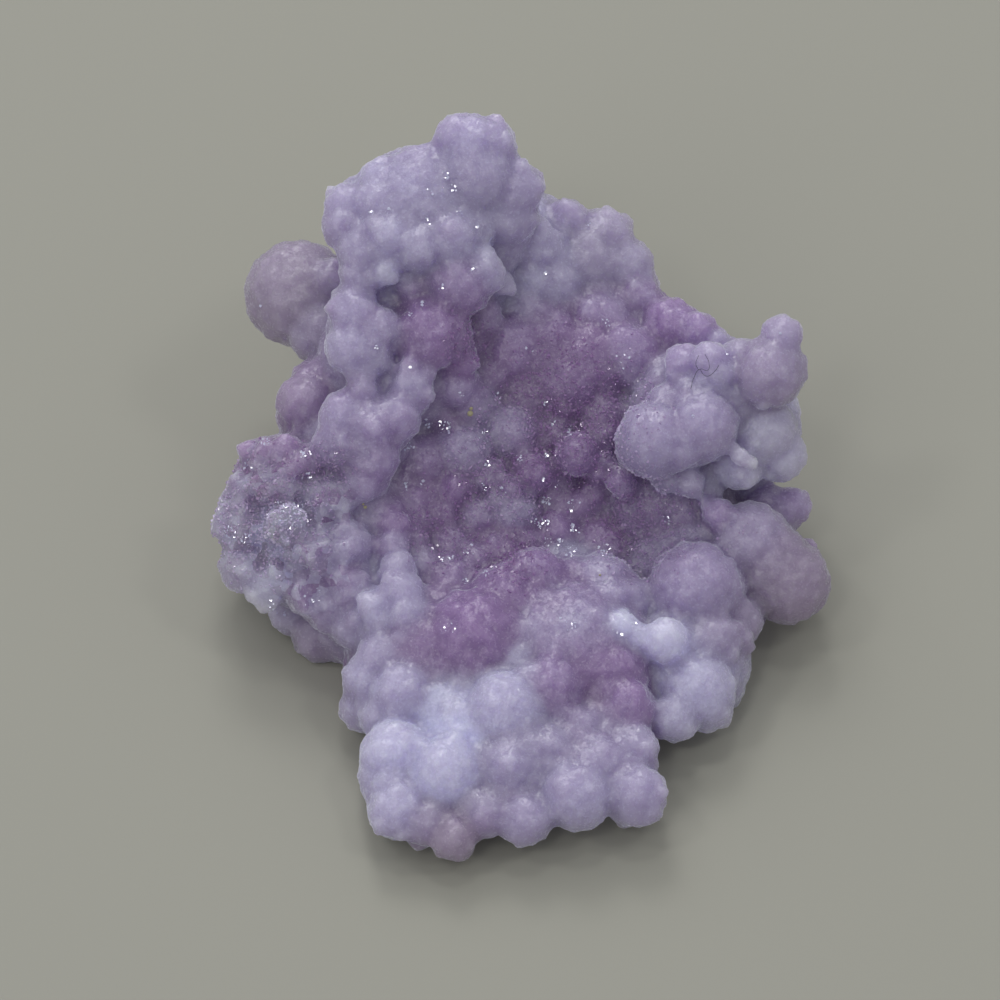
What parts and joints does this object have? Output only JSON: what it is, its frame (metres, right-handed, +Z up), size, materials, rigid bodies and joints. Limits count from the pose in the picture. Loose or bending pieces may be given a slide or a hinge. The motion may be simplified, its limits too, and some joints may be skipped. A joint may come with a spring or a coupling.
{
  "type": "grape chalcedony",
  "caption": "Loose purple mineral specimen of round quartz globules grown together round a hollow face, resting on a flat break.",
  "frame": {"origin": "on the flat break that the specimen rests on, straight below the middle of its hollow face", "axes": "+Z up from the flat break, -Y the side that the hollow face leans towards, +X to the right when the face is looked at"},
  "size_m": [0.0312, 0.0369, 0.0202],
  "materials": {
    "chalcedony": "translucent lilac to mauve, frosted by a fine crystal skin, paler on the tips"
  },
  "bodies": {
    "root": {"grape_chalcedony": "chalcedony"}
  },
  "joints": []
}
